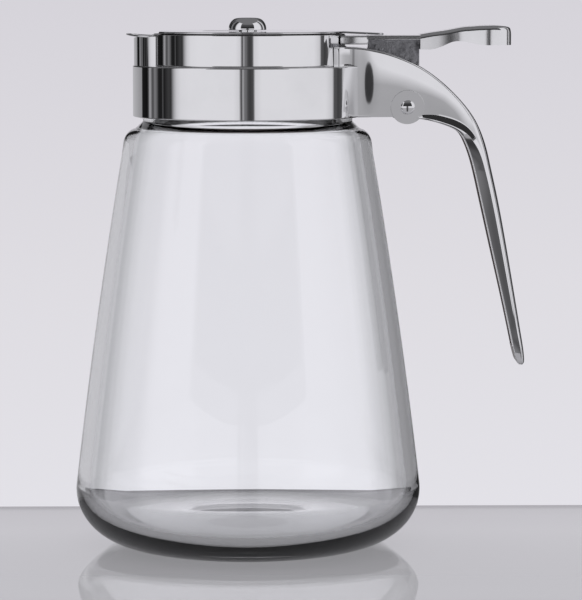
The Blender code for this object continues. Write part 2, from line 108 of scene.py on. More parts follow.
def flow(stations: tuple[Station, ...], per_gap: int, passes: int = 3) -> list[Station]:
    """Return stations along a smooth curve through the given ones.

    Args:
        stations: Rows of numbers; the distance between rows sets the curve's pace.
        per_gap: The number of rows made for each gap.
        passes: How often neighbours are averaged to even out the curvature.

    Returns:
        The closer rows, with the first and last kept.
    """
    times = [0.0]
    for here, there in zip(stations, stations[1:]):
        times.append(times[-1] + math.dist(here, there))
    last = len(stations) - 1
    slopes = []
    for i, row in enumerate(stations):
        before, after = max(i - 1, 0), min(i + 1, last)
        gap_before, gap_after = times[i] - times[before], times[after] - times[i]
        slope = []
        for k, value in enumerate(row):
            rise_before = (value - stations[before][k]) / gap_before if gap_before else 0.0
            rise_after = (stations[after][k] - value) / gap_after if gap_after else 0.0
            if not gap_before or not gap_after:
                slope.append(rise_before + rise_after)
            else:
                slope.append((rise_before * gap_after + rise_after * gap_before) / (gap_before + gap_after))
        slopes.append(slope)
    rows = []
    for i in range(last):
        gap = times[i + 1] - times[i]
        for step in range(per_gap):
            t = step / per_gap
            start, end = (1 + 2 * t) * (1 - t) ** 2, t * t * (3 - 2 * t)
            lead, trail = t * (1 - t) ** 2 * gap, t * t * (t - 1) * gap
            near, far, leave, arrive = stations[i], stations[i + 1], slopes[i], slopes[i + 1]
            row = [start * a + end * b + lead * c + trail * d for a, b, c, d in zip(near, far, leave, arrive)]
            rows.append(tuple(row))
    rows.append(stations[-1])
    for _ in range(passes):
        middle = [
            tuple((a + 2 * b + c) / 4 for a, b, c in zip(*trio)) for trio in zip(rows, rows[1:], rows[2:])
        ]
        rows = [rows[0], *middle, rows[-1]]
    return rows


def spun(profile: list[Pair], segments: int) -> bmesh.types.BMesh:
    """Return a solid turned about Z from a profile of (radius, height) that ends on the axis."""
    shape = bmesh.new()
    verts = [shape.verts.new((radius, 0.0, height)) for radius, height in profile]
    edges = [shape.edges.new(pair) for pair in zip(verts, verts[1:])]
    bmesh.ops.spin(
        shape,
        geom=verts + edges,
        cent=(0.0, 0.0, 0.0),
        axis=(0.0, 0.0, 1.0),
        angle=2 * math.pi,
        steps=segments,
        use_merge=True,
    )
    bmesh.ops.remove_doubles(shape, verts=shape.verts, dist=WELD)
    bmesh.ops.recalc_face_normals(shape, faces=shape.faces)
    return shape


def guarded(profile: list[Pair]) -> list[Pair]:
    """Return a profile with points close to both ends of its long runs, so that they shade flat."""
    points = [profile[0]]
    for start, end in zip(profile, profile[1:]):
        length = math.dist(start, end)
        if length > LONG_RUN:
            for share in (GUARD / length, 1 - GUARD / length):
                points.append(tuple(a + (b - a) * share for a, b in zip(start, end)))
        points.append(end)
    return points


def lofted(rings: list[list[Vector]]) -> bmesh.types.BMesh:
    """Return a closed solid drawn through rings of equally many points."""
    shape = bmesh.new()
    loop = [shape.verts.new(point) for point in rings[0]]
    count = len(loop)
    edges = [shape.edges.new((loop[i], loop[(i + 1) % count])) for i in range(count)]
    bmesh.ops.contextual_create(shape, geom=edges)
    for ring in rings[1:]:
        place = {vert: i for i, vert in enumerate(loop)}
        grown = bmesh.ops.extrude_edge_only(shape, edges=edges)["geom"]
        fresh = {}
        for vert in (item for item in grown if isinstance(item, bmesh.types.BMVert)):
            source = next(e.other_vert(vert) for e in vert.link_edges if e.other_vert(vert) in place)
            fresh[place[source]] = vert
        loop = [fresh[i] for i in range(count)]
        for vert, point in zip(loop, ring):
            vert.co = point
        ends = set(loop)
        edges = [e for e in grown if isinstance(e, bmesh.types.BMEdge) and ends.issuperset(e.verts)]
    bmesh.ops.contextual_create(shape, geom=edges)
    bmesh.ops.recalc_face_normals(shape, faces=shape.faces)
    return shape


def prism(outline: list[Pair], low: float, high: float, round_off: float = 0.0) -> bmesh.types.BMesh:
    """Return an upright solid with a plan outline.

    Args:
        outline: The plan's points in order.
        low: The height of its underside.
        high: The height of its top.
        round_off: The radius of the rounding along its upper and lower rims.

    Returns:
        The solid.
    """
    shape = bmesh.new()
    loop = [shape.verts.new((x, y, low)) for x, y in outline]
    edges = [shape.edges.new((a, b)) for a, b in zip(loop, loop[1:] + loop[:1])]
    bmesh.ops.contextual_create(shape, geom=edges)
    grown = bmesh.ops.extrude_face_region(shape, geom=shape.faces[:])["geom"]
    lifted = [item for item in grown if isinstance(item, bmesh.types.BMVert)]
    bmesh.ops.translate(shape, vec=(0.0, 0.0, high - low), verts=lifted)
    bmesh.ops.recalc_face_normals(shape, faces=shape.faces)
    if round_off:
        rims = [e for e in shape.edges if abs(e.verts[0].co.z - e.verts[1].co.z) < WELD]
        rounded(shape, rims, round_off)
    return shape


def rounded(shape: bmesh.types.BMesh, edges: list[bmesh.types.BMEdge], radius: float) -> None:
    """Round edges of a shape off in place."""
    bmesh.ops.bevel(
        shape,
        geom=edges,
        offset=radius,
        offset_type="OFFSET",
        affect="EDGES",
        segments=4,
        profile=0.5,
        material=-1,
        clamp_overlap=True,
    )


def block(low: Vector, high: Vector, round_off: float = 0.0) -> bmesh.types.BMesh:
    """Return a box between two corners, with its edges rounded off."""
    shape = bmesh.new()
    bmesh.ops.create_cube(shape, size=1.0)
    bmesh.ops.scale(shape, vec=high - low, verts=shape.verts)
    bmesh.ops.translate(shape, vec=(low + high) / 2, verts=shape.verts)
    if round_off:
        rounded(shape, shape.edges[:], round_off)
    return shape


def moved(shape: bmesh.types.BMesh, matrix: Matrix) -> bmesh.types.BMesh:
    """Return the shape after it is placed by a matrix."""
    bmesh.ops.transform(shape, matrix=matrix, verts=shape.verts)
    return shape


def across_y(x: float, z: float) -> Matrix:
    """Return the matrix that lays an upright shape along Y through a point."""
    return Matrix.Translation((x, 0.0, z)) @ Matrix.Rotation(QUARTER, 4, "X")


def made(name: str, shape: bmesh.types.BMesh) -> bpy.types.Object:
    """Turn a shape into an object, shaded smooth with its sharp edges kept."""
    mesh = bpy.data.meshes.new(name)
    shape.to_mesh(mesh)
    shape.free()
    shade(mesh)
    item = bpy.data.objects.new(name, mesh)
    bpy.context.scene.collection.objects.link(item)
    return item


def shade(mesh: bpy.types.Mesh) -> None:
    """Shade a mesh smooth with its sharp edges kept."""
    mesh.shade_smooth()
    mesh.set_sharp_from_angle(angle=SHARP_ANGLE)


def combine(item: bpy.types.Object, tools: list[bpy.types.Object], join: Join) -> None:
    """Add the tools to an object or cut them from it, and remove them."""
    for tool in tools:
        boolean = item.modifiers.new(tool.name, "BOOLEAN")
        boolean.object = tool
        boolean.operation = join.value
        boolean.solver = "EXACT"
    evaluated = item.evaluated_get(bpy.context.evaluated_depsgraph_get())
    result = bpy.data.meshes.new_from_object(evaluated)
    item.modifiers.clear()
    former, item.data = item.data, result
    bpy.data.meshes.remove(former)
    shade(result)
    for tool in tools:
        bpy.data.objects.remove(tool, do_unlink=True)


def settle(
    item: bpy.types.Object, body: Body, slot: Slot, node: str, material: bpy.types.Material
) -> None:
    """Dress a piece and let it stand for its node.

    Args:
        item: The piece, in place.
        body: The body that it rides on.
        slot: The record's slot of the piece; it only decides whether the piece gets flat-face normals.
        node: The node that it stands for.
        material: Its material.
    """
    item.data.materials.clear()
    item.data.materials.append(material)
    if slot is not Slot.GLASS:
        flat_shading = item.modifiers.new("flat_faces", "WEIGHTED_NORMAL")
        flat_shading.keep_sharp = True
    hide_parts(node)
    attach(item, body.value)
    LOG.info("%s: %d faces, rides on %s", item.name, len(item.data.polygons), body.value)


class Graph:
    """A node tree while it is being wired."""

    def __init__(self, tree: bpy.types.NodeTree) -> None:
        """Take the tree and clear it."""
        self.tree = tree
        tree.nodes.clear()

    def node(self, kind: str, inputs: dict | None = None, **settings: object) -> bpy.types.Node:
        """Add a node.

        Args:
            kind: The node's type name.
            inputs: Values or sockets for its inputs, by name or index.
            **settings: Its own properties.

        Returns:
            The node.
        """
        made_node = self.tree.nodes.new(kind)
        for key, value in settings.items():
            setattr(made_node, key, value)
        for key, value in (inputs or {}).items():
            if isinstance(value, bpy.types.NodeSocket):
                self.tree.links.new(value, made_node.inputs[key])
            else:
                made_node.inputs[key].default_value = value
        return made_node

    def math(self, operation: str, *values: object) -> bpy.types.NodeSocket:
        """Return the result of a Math node on values or sockets."""
        return self.node("ShaderNodeMath", dict(enumerate(values)), operation=operation).outputs[0]

    def remap(self, value: object, start: float, end: float, low: float, high: float) -> bpy.types.NodeSocket:
        """Return a value carried from one range to another and held there."""
        names = ("Value", "From Min", "From Max", "To Min", "To Max")
        inputs = dict(zip(names, (value, start, end, low, high)))
        return self.node("ShaderNodeMapRange", inputs, clamp=True).outputs["Result"]

    def mix(self, factor: object, first: object, second: object) -> bpy.types.NodeSocket:
        """Return a mix of two colours."""
        mixer = self.node("ShaderNodeMix", data_type="RGBA", blend_type="MIX")
        for index, value in ((0, factor), (6, first), (7, second)):
            if isinstance(value, bpy.types.NodeSocket):
                self.tree.links.new(value, mixer.inputs[index])
            else:
                mixer.inputs[index].default_value = value
        return mixer.outputs[2]

    def ramp(self, factor: object, stops: list[tuple[float, tuple]]) -> bpy.types.NodeSocket:
        """Return the colour of a ramp with the given stops of place and colour."""
        ramp_node = self.node("ShaderNodeValToRGB", {0: factor})
        elements = ramp_node.color_ramp.elements
        while len(elements) < len(stops):
            elements.new(0.5)
        for element, (place, colour) in zip(elements, stops):
            element.position = place
            element.color = colour
        return ramp_node.outputs[0]


def grey(value: float, tint: tuple[float, float, float] = (1.0, 1.0, 1.0)) -> tuple:
    """Return a colour with its alpha from a value and a tint."""
    return (*(value * share for share in tint), 1.0)


def new_group(name: str, inputs: dict[str, float], outputs: tuple[str, ...]) -> bpy.types.NodeTree:
    """Return a node group with named number inputs and outputs."""
    tree = bpy.data.node_groups.new(name, "ShaderNodeTree")
    for title, value in inputs.items():
        socket = tree.interface.new_socket(title, in_out="INPUT", socket_type="NodeSocketFloat")
        socket.default_value = value
    for title in outputs:
        tree.interface.new_socket(title, in_out="OUTPUT", socket_type="NodeSocketFloat")
    return tree


class Handling:
    """The faint unevenness and smudges that every metal of the dispenser shares."""

    def __init__(self) -> None:
        """Build the group once."""
        inputs = {"Wave Scale": 90.0, "Smudge Scale": 45.0, "Roughness": 0.04, "Smudge": 0.03}
        self.tree = new_group("handled_surface", inputs, ("Roughness", "Height", "Smudge"))
        graph = Graph(self.tree)
        given = graph.node("NodeGroupInput").outputs
        place = graph.node("ShaderNodeTexCoord").outputs["Object"]
        wave_inputs = {"Vector": place, "Scale": given["Wave Scale"], "Detail": 1.0}
        wave = graph.node("ShaderNodeTexNoise", wave_inputs)
        mark_inputs = {"Vector": place, "Scale": given["Smudge Scale"], "Detail": 5.0}
        marks = graph.node("ShaderNodeTexNoise", mark_inputs)
        mask = graph.remap(marks.outputs[0], 0.5, 0.72, 0.0, 1.0)
        added = graph.math("MULTIPLY", mask, given["Smudge"])
        roughness = graph.math("ADD", given["Roughness"], added)
        outputs = {"Roughness": roughness, "Height": wave.outputs[0], "Smudge": mask}
        graph.node("NodeGroupOutput", outputs)


class Streaks:
    """The gentle upright waves of pressed glass."""

    def __init__(self) -> None:
        """Build the group once."""
        inputs = {"Scale": 55.0, "Stretch": 0.16, "Fine": 0.25}
        self.tree = new_group("pressed_glass_waves", inputs, ("Height",))
        graph = Graph(self.tree)
        given = graph.node("NodeGroupInput").outputs
        parts = graph.node("ShaderNodeSeparateXYZ", {0: graph.node("ShaderNodeTexCoord").outputs["Object"]})
        tall = graph.math("MULTIPLY", parts.outputs["Z"], given["Stretch"])
        sides = {"X": parts.outputs["X"], "Y": parts.outputs["Y"], "Z": tall}
        drawn = graph.node("ShaderNodeCombineXYZ", sides).outputs[0]
        broad = graph.node("ShaderNodeTexNoise", {"Vector": drawn, "Scale": given["Scale"], "Detail": 0.0})
        fine_scale = graph.math("MULTIPLY", given["Scale"], 3.0)
        fine = graph.node("ShaderNodeTexNoise", {"Vector": drawn, "Scale": fine_scale, "Detail": 1.0})
        share = graph.math("MULTIPLY", fine.outputs[0], given["Fine"])
        graph.node("NodeGroupOutput", {"Height": graph.math("ADD", broad.outputs[0], share)})


class Surface:
    """A material while it is being made: a shared effect, the bump that follows it and a shader."""

    def __init__(
        self, name: str, effect: bpy.types.NodeTree, settings: dict[str, float], depth: float
    ) -> None:
        """Make the material and place the effect in it.

        Args:
            name: The material's name.
            effect: The shared node group.
            settings: The material's own values for the group's inputs.
            depth: The depth of the bump.
        """
        self.material = bpy.data.materials.new(name)
        self.material.use_nodes = True
        self.graph = Graph(self.material.node_tree)
        self.effect = self.graph.node("ShaderNodeGroup", settings, node_tree=effect).outputs
        bump_inputs = {"Height": self.effect["Height"], "Distance": depth, "Strength": 1.0}
        self.normal = self.graph.node("ShaderNodeBump", bump_inputs).outputs[0]

    def shaded(self, inputs: dict[str, object]) -> bpy.types.Material:
        """Return the material with a shader that has the given inputs."""
        shader = self.graph.node("ShaderNodeBsdfPrincipled", {**inputs, "Normal": self.normal})
        self.graph.node("ShaderNodeOutputMaterial", {"Surface": shader.outputs[0]})
        return self.material


@dataclass(frozen=True)
class MetalFinish:
    """A polished or worked metal."""

    name: str
    colour: tuple[float, float, float]
    roughness: float
    smudge: float
    wave_scale: float
    wave_depth: float
    smudge_shade: float = 0.94

    def material(self, handling: Handling) -> bpy.types.Material:
        """Return the metal's material."""
        settings = {
            "Wave Scale": self.wave_scale,
            "Roughness": self.roughness,
            "Smudge": self.smudge,
        }
        surface = Surface(self.name, handling.tree, settings, self.wave_depth)
        clean, smudged = grey(1.0, self.colour), grey(self.smudge_shade, self.colour)
        colour = surface.graph.mix(surface.effect["Smudge"], clean, smudged)
        roughness = surface.effect["Roughness"]
        return surface.shaded({"Base Color": colour, "Metallic": 1.0, "Roughness": roughness})


@dataclass(frozen=True)
class GlassFinish:
    """Clear pressed glass."""

    name: str = "clear_jar_glass"
    colour: tuple[float, float, float] = (0.975, 0.98, 0.985)
    ior: float = 1.5
    wave_depth: float = 0.02 * MM

    def material(self, streaks: Streaks) -> bpy.types.Material:
        """Return the glass's material."""
        inputs = {
            "Base Color": grey(1.0, self.colour),
            "Metallic": 0.0,
            "Roughness": 0.0,
            "IOR": self.ior,
            "Transmission Weight": 1.0,
        }
        return Surface(self.name, streaks.tree, {}, self.wave_depth).shaded(inputs)


@dataclass(frozen=True)
class RawCastingFinish:
    """The unpolished, mottled skin of the lever's web."""

    name: str = "unpolished_web"
    light: tuple[float, float, float] = (0.42, 0.42, 0.44)
    dark: tuple[float, float, float] = (0.13, 0.13, 0.14)
    metallic: float = 0.85
    grain_scale: float = 900.0
    grain_depth: float = 0.12 * MM
    mottle_scale: float = 420.0
    mottle_roughness: float = 0.2
    roughness: float = 0.34

    def material(self, handling: Handling) -> bpy.types.Material:
        """Return the raw casting's material."""
        settings = {
            "Wave Scale": self.grain_scale,
            "Smudge Scale": self.mottle_scale,
            "Roughness": self.roughness,
            "Smudge": self.mottle_roughness,
        }
        surface = Surface(self.name, handling.tree, settings, self.grain_depth)
        light, dark = grey(1.0, self.light), grey(1.0, self.dark)
        colour = surface.graph.mix(surface.effect["Smudge"], light, dark)
        roughness = surface.effect["Roughness"]
        return surface.shaded({"Base Color": colour, "Metallic": self.metallic, "Roughness": roughness})


@dataclass
class Jar:
    """The tapered glass jar with its rounded heel and shoulder and its short neck."""

    segments: int = 256
    foot_radius: float = 30.7 * MM
    bearing_width: float = 4.0 * MM
    push_up: float = 1.0 * MM
    heel_z: float = 14.2 * MM
    heel_across: float = 15.4 * MM
    heel_overshoot: float = math.radians(6)
    wall_top_radius: float = 32.9 * MM
    wall_top_z: float = 106.4 * MM
    wall_bulge: float = 0.6 * MM
    shoulder_radius: float = 4.2 * MM
    shoulder_turn: Pair = (math.radians(9), math.radians(76))
    throat_height: float = 4.0 * MM
    neck_radius: float = 27.8 * MM
    neck_base_z: float = 112.3 * MM
    neck_top_z: float = 124.6 * MM
    bore_radius: float = 25.2 * MM
    lip_round: float = 1.2 * MM
    glass_top: float = 2.7 * MM
    glass_heel: float = 3.4 * MM
    floor_z: float = 6.0 * MM
    floor_crown: float = 0.7 * MM
    corner_round: float = 9.0 * MM

    def wall_start(self) -> Pair:
        """Return where the heel's curve meets the wall."""
        radius = self.foot_radius + self.heel_across * math.cos(self.heel_overshoot)
        return radius, self.heel_z * (1 + math.sin(self.heel_overshoot))

    def wall_radius(self, height: float) -> float:
        """Return the outer radius of the slightly barrelled wall at a height."""
        low_radius, low_z = self.wall_start()
        t = (height - low_z) / (self.wall_top_z - low_z)
        return low_radius + (self.wall_top_radius - low_radius) * t + 4 * self.wall_bulge * t * (1 - t)

    def thickness(self, height: float) -> float:
        """Return the glass thickness at a height."""
        t = (height - self.heel_z) / (self.wall_top_z - self.heel_z)
        return self.glass_heel + (self.glass_top - self.glass_heel) * t

    def outside(self) -> list[Pair]:
        """Return the outer profile from the neck down to the middle of the foot."""
        start, end = self.shoulder_turn
        centre = (self.wall_top_radius - self.shoulder_radius * math.cos(start), self.wall_top_z)
        round_radii = (self.shoulder_radius, self.shoulder_radius)
        shoulder = arc(centre, round_radii, end, start, 18)
        low_z = self.wall_start()[1]
        steps = 28
        heights = [self.wall_top_z + (low_z - self.wall_top_z) * i / steps for i in range(1, steps)]
        wall = [(self.wall_radius(z), z) for z in heights]
        heel_radii = (self.heel_across, self.heel_z)
        heel = arc((self.foot_radius, self.heel_z), heel_radii, self.heel_overshoot, -QUARTER, 36)
        hollow_radius = self.foot_radius - self.bearing_width
        rise = 12
        hollow = []
        for i in range(rise + 1):
            t = i / rise
            hollow.append((hollow_radius * (1 - t), self.push_up * t * t * (3 - 2 * t)))
        return [(self.neck_radius, self.neck_base_z)] + shoulder + wall + heel + hollow

    def inside(self) -> list[Pair]:
        """Return the inner profile from the middle of the floor up to the bore."""
        corner_top = self.floor_z + self.corner_round
        corner_radius = self.wall_radius(corner_top) - self.thickness(corner_top)
        centre = (corner_radius - self.corner_round, corner_top)
        corner = arc(centre, (self.corner_round, self.corner_round), -QUARTER, 0.0, 20)
        steps = 28
        heights = [corner_top + (self.wall_top_z - corner_top) * i / steps for i in range(1, steps + 1)]
        wall = [(self.wall_radius(z) - self.thickness(z), z) for z in heights]
        throat_radii = (wall[-1][0] - self.bore_radius, self.throat_height)
        throat = arc((self.bore_radius, self.wall_top_z), throat_radii, 0.0, QUARTER, 10)
        rise = 12
        floor = []
        for i in range(rise):
            t = i / rise
            floor.append((centre[0] * t, self.floor_z + self.floor_crown * (1 - t * t * (3 - 2 * t))))
        return floor + corner + wall + throat[1:]

    def build(self, material: bpy.types.Material) -> None:
        """Build and dress the jar."""
        lip_centre = ((self.neck_radius + self.bore_radius) / 2, self.neck_top_z - self.lip_round)
        lip_radii = ((self.neck_radius - self.bore_radius) / 2, self.lip_round)
        lip = arc(lip_centre, lip_radii, math.pi, 0.0, 12)
        jar = made("jar_glass", spun(self.inside() + lip + self.outside(), self.segments))
        settle(jar, Body.ROOT, Slot.GLASS, "jar", material)


@dataclass
class Handle:
    """The channel handle, given by a row of sizes in mm at each station.

    A row holds the lower point's x and z, the crown point's x and z, half the width, the crown's
    radius upward, the flank's bulge, the rim's pride, height and slope above the lower edge, and
    the crown's radius across.  On the grip the back is broad and the rim is a flat flange.
    """

    wall: float = 1.6 * MM
    edge_round: float = 0.3 * MM
    draft: float = 0.06
    grip_draft: float = -0.06
    flange_lean: float = 0.062
    slope_shares: tuple[float, ...] = (0.06, 0.5, 0.94, 1.0)
    grip_z: Pair = (108.0, 112.0)
    arch: float = 0.22 * MM
    arch_half: float = 5.0 * MM
    channel_front_x: float = 31.4 * MM
    channel_end_z: float = 52.5 * MM
    channel_crown: float = 1.2 * MM
    channel_run_out: float = 3.0 * MM
    stations: tuple[Station, ...] = (
        (22.5, 113.7, 22.5, 132.4, 12.8, 0.55, 0.0, 0.0, 0.5, 0.5, 0.55),
        (23.5, 113.7, 23.5, 132.4, 11.3, 0.55, 0.0, 0.0, 0.5, 0.5, 0.55),
        (24.5, 113.7, 24.5, 132.4, 10.3, 0.55, 0.0, 0.0, 0.5, 0.5, 0.55),
        (25.5, 113.7, 25.5, 132.4, 9.85, 0.55, 0.0, 0.0, 0.5, 0.5, 0.55),
        (26.5, 113.7, 26.5, 132.3, 9.7, 0.55, 0.0, 0.0, 0.5, 0.5, 0.55),
        (28.5, 113.7, 28.5, 132.2, 9.6, 0.55, 0.0, 0.0, 0.5, 0.5, 0.55),
        (30.5, 113.7, 30.5, 132.0, 9.4, 0.55, 0.0, 0.0, 0.5, 0.5, 0.55),
        (33.0, 113.7, 33.0, 131.6, 9.1, 0.6, 0.3, 0.0, 0.5, 0.5, 0.6),
        (36.6, 113.7, 36.6, 130.8, 8.65, 0.65, 0.4, 0.0, 0.5, 0.5, 0.65),
        (40.6, 113.7, 40.6, 129.4, 8.15, 0.65, 0.4, 0.0, 0.5, 0.5, 0.7),
        (45.5, 113.1, 45.7, 127.0, 7.5, 0.65, 0.4, 0.18, 0.45, 0.8, 0.8),
        (48.6, 112.5, 49.8, 124.2, 7.1, 0.7, 0.38, 0.42, 0.5, 1.4, 0.9),
        (51.6, 111.6, 53.7, 120.8, 6.75, 0.75, 0.3, 0.48, 0.55, 1.6, 1.0),
        (54.2, 110.5, 57.3, 117.0, 6.45, 0.9, 0.2, 0.5, 0.7, 1.65, 1.2),
        (56.2, 109.0, 60.2, 113.0, 6.3, 1.2, 0.1, 0.45, 1.1, 1.5, 1.7),
        (57.4, 106.9, 62.2, 108.7, 6.15, 1.5, 0.0, 0.36, 1.9, 1.2, 3.0),
        (58.5, 104.2, 63.5, 104.7, 6.0, 1.4, 0.0, 0.26, 2.6, 0.8, 4.4),
        (59.5, 101.0, 64.5, 100.4, 5.9, 1.45, 0.0, 0.22, 2.9, 0.5, 5.1),
        (61.6, 92.0, 66.5, 91.6, 5.75, 1.5, 0.0, 0.2, 2.95, 0.3, 5.1),
        (64.6, 78.8, 69.0, 78.4, 5.5, 1.35, 0.0, 0.2, 2.6, 0.3, 4.9),
        (67.5, 66.2, 71.2, 65.8, 5.2, 1.2, 0.0, 0.2, 2.1, 0.25, 4.6),
        (69.3, 58.0, 72.6, 57.6, 5.0, 1.1, 0.0, 0.2, 1.85, 0.2, 4.4),
        (71.1, 49.9, 73.86, 49.5, 4.8, 0.9, 0.0, 0.2, 1.55, 0.2, 4.0),
        (71.6, 48.3, 73.86, 48.1, 4.4, 0.7, 0.0, 0.15, 1.15, 0.2, 3.0),
        (72.3, 47.5, 73.5, 47.5, 3.4, 0.4, 0.0, 0.1, 0.45, 0.1, 1.5),
    )

    def rows(self) -> list[Station]:
        """Return close stations along the handle."""
        return flow(self.stations, 6)

    def grip_share(self, row: Station) -> float:
        """Return how far a station belongs to the grip, from 0 to 1."""
        low, high = self.grip_z
        return min(max((high - row[1]) / (high - low), 0.0), 1.0)

    def flank(self, row: Station, rise: float, height: float) -> float:
        """Return half the width of a station's flank at a height above its lower edge."""
        share = min(max(rise / height, 0.0), 1.0)
        bulge = 4 * row[6] * MM * share * (1 - share)
        grip = self.grip_share(row)
        draft = self.draft * (1 - grip) + self.grip_draft * grip
        return row[4] * MM + draft * (rise - height / 2) + bulge

    def half_section(self, row: Station, height: float) -> list[Pair]:
        """Return one side of the section as (across, up) from its lower edge to its crown."""
        crown, proud, rim, slope, crown_across = (row[i] * MM for i in (5, 7, 8, 9, 10))
        edge = self.flank(row, rim, height) + proud
        round_off = min(self.edge_round, rim / 2)
        foot = edge - self.flange_lean * self.grip_share(row) * (rim - round_off)
        points = arc((foot - round_off, round_off), (round_off, round_off), -QUARTER, 0.0, 4)
        points.append((edge, rim))
        for share in self.slope_shares:
            rise = rim + slope * share
            points.append((self.flank(row, rise, height) + proud * (1 - share), rise))
        flat_half = self.flank(row, height - crown, height) - crown_across
        arch = self.arch * min(flat_half / self.arch_half, 1.0)
        base, spring = rim + slope, height - arch - crown
        flank_steps = 10
        for i in range(1, flank_steps):
            rise = base + (spring - base) * i / flank_steps
            points.append((self.flank(row, rise, height), rise))
        shoulder = self.flank(row, spring, height) - crown_across
        points += arc((shoulder, spring), (crown_across, crown), 0.0, QUARTER, 12)
        arch_steps = 6
        for i in range(1, arch_steps + 1):
            t = i / arch_steps
            points.append((shoulder * (1 - t), height - arch + arch * t * (2 - t)))
        return points

    def ring(self, row: Station) -> list[Vector]:
        """Return the outer section at a station."""
        low, up, height = self.stance(row)
        half = self.half_section(row, height)
        sides = half + [(-across, rise) for across, rise in half[-2::-1]]
        return [low + up * rise + Vector((0.0, across, 0.0)) for across, rise in sides]

    def hollow(self, row: Station) -> list[Vector]:
        """Return the channel's section at a station, open below the lower edge."""
        low, up, height = self.stance(row)
        crown = min(self.channel_crown, height / 3)
        spring = height - self.wall - crown
        top = self.flank(row, spring, height) - self.wall
        foot = self.flank(row, 0.0, height) - self.wall
        half = [(foot, -self.channel_run_out), (foot, 0.0)]
        half += arc((top - crown, spring), (crown, crown), 0.0, QUARTER, 6)
        sides = half + [(-across, rise) for across, rise in reversed(half)]
        return [low + up * rise + Vector((0.0, across, 0.0)) for across, rise in sides]

    @staticmethod
    def stance(row: Station) -> tuple[Vector, Vector, float]:
        """Return a station's lower point, its upward direction and its height."""
        low = Vector((row[0], 0.0, row[1])) * MM
        high = Vector((row[2], 0.0, row[3])) * MM
        return low, (high - low).normalized(), (high - low).length

    def solid(self) -> bpy.types.Object:
        """Return the handle's outer form."""
        return made("handle", lofted([self.ring(row) for row in self.rows()]))

    def channel(self) -> bpy.types.Object:
        """Return the channel as a cutter."""
        inside = [
            row
            for row in self.rows()
            if row[0] * MM > self.channel_front_x and row[1] * MM > self.channel_end_z
        ]
        return made("channel", lofted([self.hollow(row) for row in inside]))


